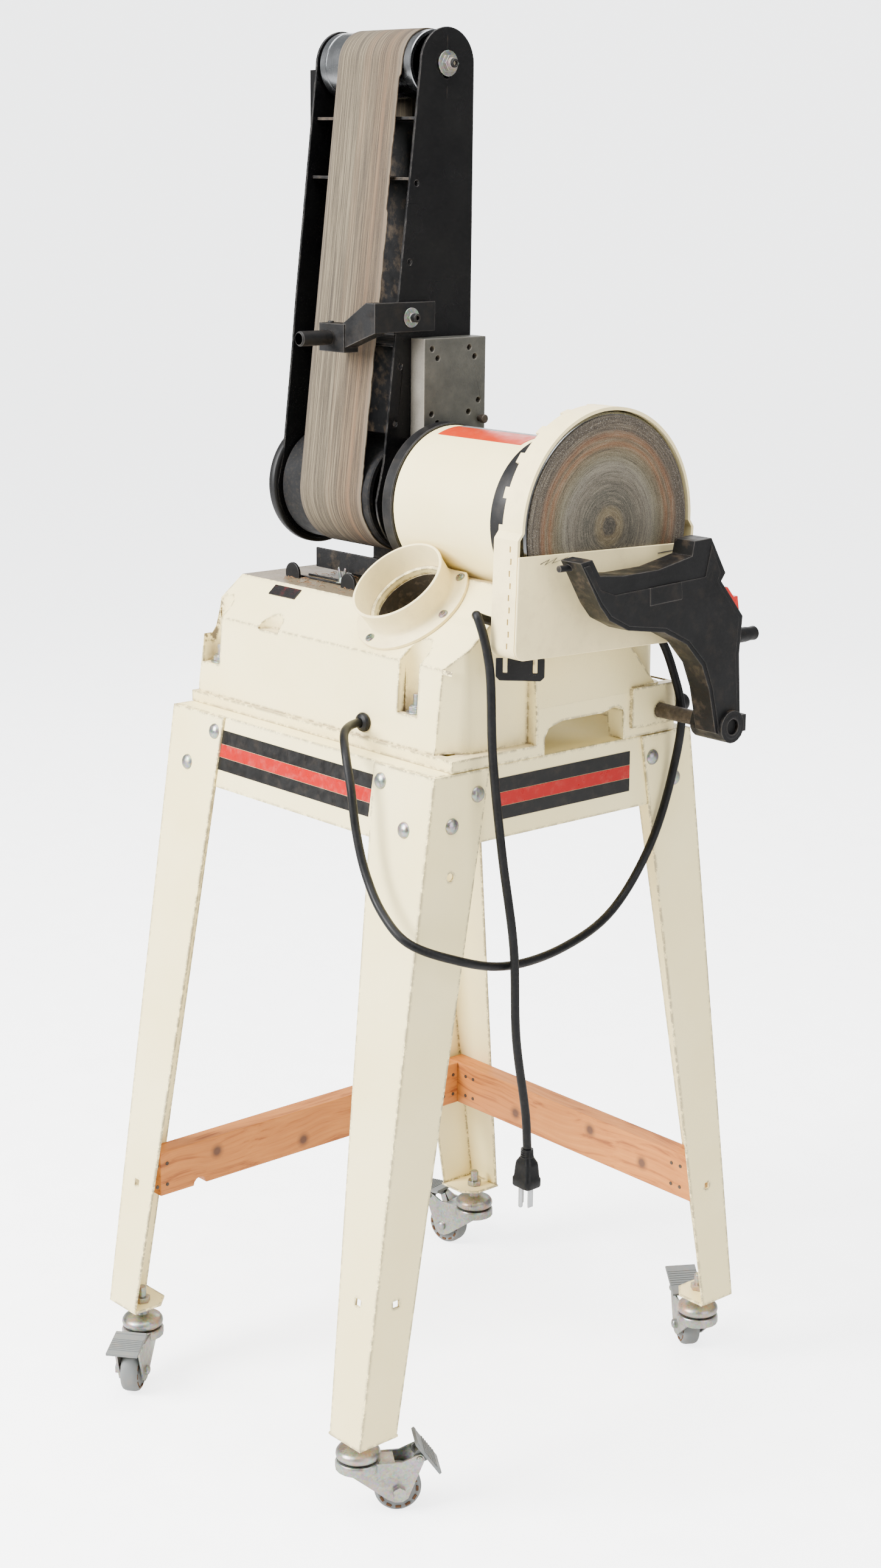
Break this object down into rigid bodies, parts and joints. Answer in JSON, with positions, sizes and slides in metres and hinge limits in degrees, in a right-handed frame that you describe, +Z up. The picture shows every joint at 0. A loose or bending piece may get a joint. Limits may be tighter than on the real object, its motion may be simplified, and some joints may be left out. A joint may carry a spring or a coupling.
{
  "type": "belt disc sander",
  "caption": "Belt and disc sander: tilting belt arm, guarded sanding disc, tilting table bracket and dust port on an open steel stand with braked swivel casters.",
  "frame": {"origin": "middle of the abrasive disc's outer face, on the spindle axis", "axes": "+X along the spindle, out of the disc face; +Y towards the operator's side, away from the dust port; +Z up"},
  "size_m": [0.6227, 0.6663, 1.5241],
  "materials": {
    "cream_paint": "textured satin enamel",
    "cream_plastic": "satin",
    "black_paint": "semi gloss",
    "black_cast": "painted, worn",
    "rubber": "matt",
    "zinc": "zinc plated",
    "steel": "machined",
    "rusty_steel": "dark, rusty",
    "aluminium": "machined",
    "cast_iron": "bare, dull",
    "pine": "planed, unfinished",
    "belt_cloth": "worn abrasive cloth",
    "abrasive": "worn abrasive",
    "grey_plastic": "satin",
    "copper": "varnished winding",
    "red_plastic": "gloss"
  },
  "bodies": {
    "stand": {"stand_top": "cream_paint", "leg_front_left": "cream_paint", "leg_front_right": "cream_paint", "leg_rear_left": "cream_paint", "leg_rear_right": "cream_paint", "rail_left": "pine", "rail_rear": "pine", "caster_stem_front_left": "zinc", "caster_stem_front_right": "zinc", "caster_stem_rear_left": "zinc", "caster_stem_rear_right": "zinc", "base_casting": "cream_paint", "dust_port": "cream_plastic", "power_cord": "rubber", "power_plug": "rubber", "motor_body": "cream_paint", "motor_end_left": "black_paint", "motor_end_right": "black_paint", "motor_stator": "copper", "bearing_left": "steel", "bearing_right": "steel", "disc_guard": "cream_plastic", "guard_cover": "cream_plastic", "guard_bracket": "black_paint", "dust_channel": "black_paint", "switch_box": "black_paint"},
    "fork_front_left": {"caster_fork_front_left": "zinc"},
    "wheel_front_left": {"caster_wheel_front_left": "grey_plastic"},
    "pedal_front_left": {"caster_pedal_front_left": "grey_plastic"},
    "fork_front_right": {"caster_fork_front_right": "zinc"},
    "wheel_front_right": {"caster_wheel_front_right": "grey_plastic"},
    "pedal_front_right": {"caster_pedal_front_right": "grey_plastic"},
    "fork_rear_left": {"caster_fork_rear_left": "zinc"},
    "wheel_rear_left": {"caster_wheel_rear_left": "grey_plastic"},
    "pedal_rear_left": {"caster_pedal_rear_left": "grey_plastic"},
    "fork_rear_right": {"caster_fork_rear_right": "zinc"},
    "wheel_rear_right": {"caster_wheel_rear_right": "grey_plastic"},
    "pedal_rear_right": {"caster_pedal_rear_right": "grey_plastic"},
    "spindle": {"motor_shaft": "steel", "drive_drum": "rubber", "disc_plate": "aluminium", "abrasive_disc": "abrasive"},
    "belt_arm": {"arm_plate_left": "black_paint", "arm_plate_right": "black_paint", "arm_hub": "black_cast", "platen": "black_paint", "arm_tie": "black_paint", "iron_pad": "cast_iron", "sanding_belt": "belt_cloth", "stop_bracket": "black_cast", "stop_rod": "steel"},
    "idler_carriage": {"idler_axle": "zinc", "tension_bracket": "black_paint"},
    "idler": {"idler_drum": "aluminium"},
    "tracking": {"tracking_knob": "black_cast"},
    "table_rod_body": {"table_rod": "rusty_steel"},
    "trunnion_body": {"trunnion": "black_cast"},
    "tilt_lock": {"tilt_handle": "black_cast"},
    "rod_lock": {"rod_lock_knob": "black_cast"},
    "paddle": {"switch_paddle": "red_plastic"}
  },
  "joints": [
    {"name": "swivel_front_left", "type": "hinge", "parent": "stand", "child": "fork_front_left", "pos_m": [-0.473, -0.262, -0.974], "axis": [0, 0, 1], "continuous": true},
    {"name": "roll_front_left", "type": "hinge", "parent": "fork_front_left", "child": "wheel_front_left", "pos_m": [-0.446, -0.29417, -1.0086], "axis": [0.766, 0.6428, 0], "continuous": true},
    {"name": "brake_front_left", "type": "hinge", "parent": "fork_front_left", "child": "pedal_front_left", "pos_m": [-0.43186, -0.31103, -0.972], "axis": [0.766, 0.6428, 0], "range_deg": [-33, 46]},
    {"name": "swivel_front_right", "type": "hinge", "parent": "stand", "child": "fork_front_right", "pos_m": [-0.075, -0.262, -0.974], "axis": [0, 0, 1], "continuous": true},
    {"name": "roll_front_right", "type": "hinge", "parent": "fork_front_right", "child": "wheel_front_right", "pos_m": [-0.05213, -0.22678, -1.0086], "axis": [-0.8387, 0.5446, 0], "continuous": true},
    {"name": "brake_front_right", "type": "hinge", "parent": "fork_front_right", "child": "pedal_front_right", "pos_m": [-0.04014, -0.20833, -0.972], "axis": [-0.8387, 0.5446, 0], "range_deg": [-79, 0]},
    {"name": "swivel_rear_left", "type": "hinge", "parent": "stand", "child": "fork_rear_left", "pos_m": [-0.473, 0.262, -0.974], "axis": [0, 0, 1], "continuous": true},
    {"name": "roll_rear_left", "type": "hinge", "parent": "fork_rear_left", "child": "wheel_rear_left", "pos_m": [-0.51436, 0.25471, -1.0086], "axis": [0.1736, -0.9848, 0], "continuous": true},
    {"name": "brake_rear_left", "type": "hinge", "parent": "fork_rear_left", "child": "pedal_rear_left", "pos_m": [-0.53603, 0.25089, -0.972], "axis": [0.1736, -0.9848, 0], "range_deg": [-31, 48]},
    {"name": "swivel_rear_right", "type": "hinge", "parent": "stand", "child": "fork_rear_right", "pos_m": [-0.075, 0.262, -0.974], "axis": [0, 0, 1], "continuous": true},
    {"name": "roll_rear_right", "type": "hinge", "parent": "fork_rear_right", "child": "wheel_rear_right", "pos_m": [-0.11062, 0.28426, -1.0086], "axis": [-0.5299, -0.848, 0], "continuous": true},
    {"name": "brake_rear_right", "type": "hinge", "parent": "fork_rear_right", "child": "pedal_rear_right", "pos_m": [-0.12928, 0.29591, -0.972], "axis": [-0.5299, -0.848, 0], "range_deg": [0, 79]},
    {"name": "spindle_spin", "type": "hinge", "parent": "stand", "child": "spindle", "pos_m": [-0.274, 0, 0], "axis": [1, 0, 0], "continuous": true},
    {"name": "arm_tilt", "type": "hinge", "parent": "stand", "child": "belt_arm", "pos_m": [-0.274, 0, 0], "axis": [1, 0, 0], "range_deg": [0, 90]},
    {"name": "belt_tension", "type": "slide", "parent": "belt_arm", "child": "idler_carriage", "axis": [0, 0, 1], "range_m": [-0.008, 0]},
    {"name": "idler_spin", "type": "hinge", "parent": "idler_carriage", "child": "idler", "pos_m": [-0.274, 0.028, 0.4535], "axis": [1, 0, 0], "continuous": true},
    {"name": "tracking_turn", "type": "hinge", "parent": "idler_carriage", "child": "tracking", "pos_m": [-0.484, 0.026, 0.396], "axis": [1, 0, 0], "range_deg": [-180, 180]},
    {"name": "rod_slide", "type": "slide", "parent": "stand", "child": "table_rod_body", "axis": [1, 0, 0], "range_m": [-0.002, 0.03]},
    {"name": "trunnion_swing", "type": "hinge", "parent": "table_rod_body", "child": "trunnion_body", "pos_m": [0.026, 0.134, -0.2155], "axis": [1, 0, 0], "range_deg": [-90, 10]},
    {"name": "tilt_lock_turn", "type": "hinge", "parent": "trunnion_body", "child": "tilt_lock", "pos_m": [0.038, 0.15, -0.124], "axis": [0, 1, 0], "range_deg": [-90, 90]},
    {"name": "rod_lock_turn", "type": "hinge", "parent": "stand", "child": "rod_lock", "pos_m": [-0.061, 0.16, -0.2155], "axis": [0, 1, 0], "range_deg": [-180, 180]},
    {"name": "switch_rock", "type": "hinge", "parent": "stand", "child": "paddle", "pos_m": [-0.297, 0.1883, -0.18], "axis": [1, 0, 0], "range_deg": [-4, 4]}
  ],
  "couplings": [
    {"joint": "idler_spin", "follows": "spindle_spin", "ratio": 1.7614}
  ]
}
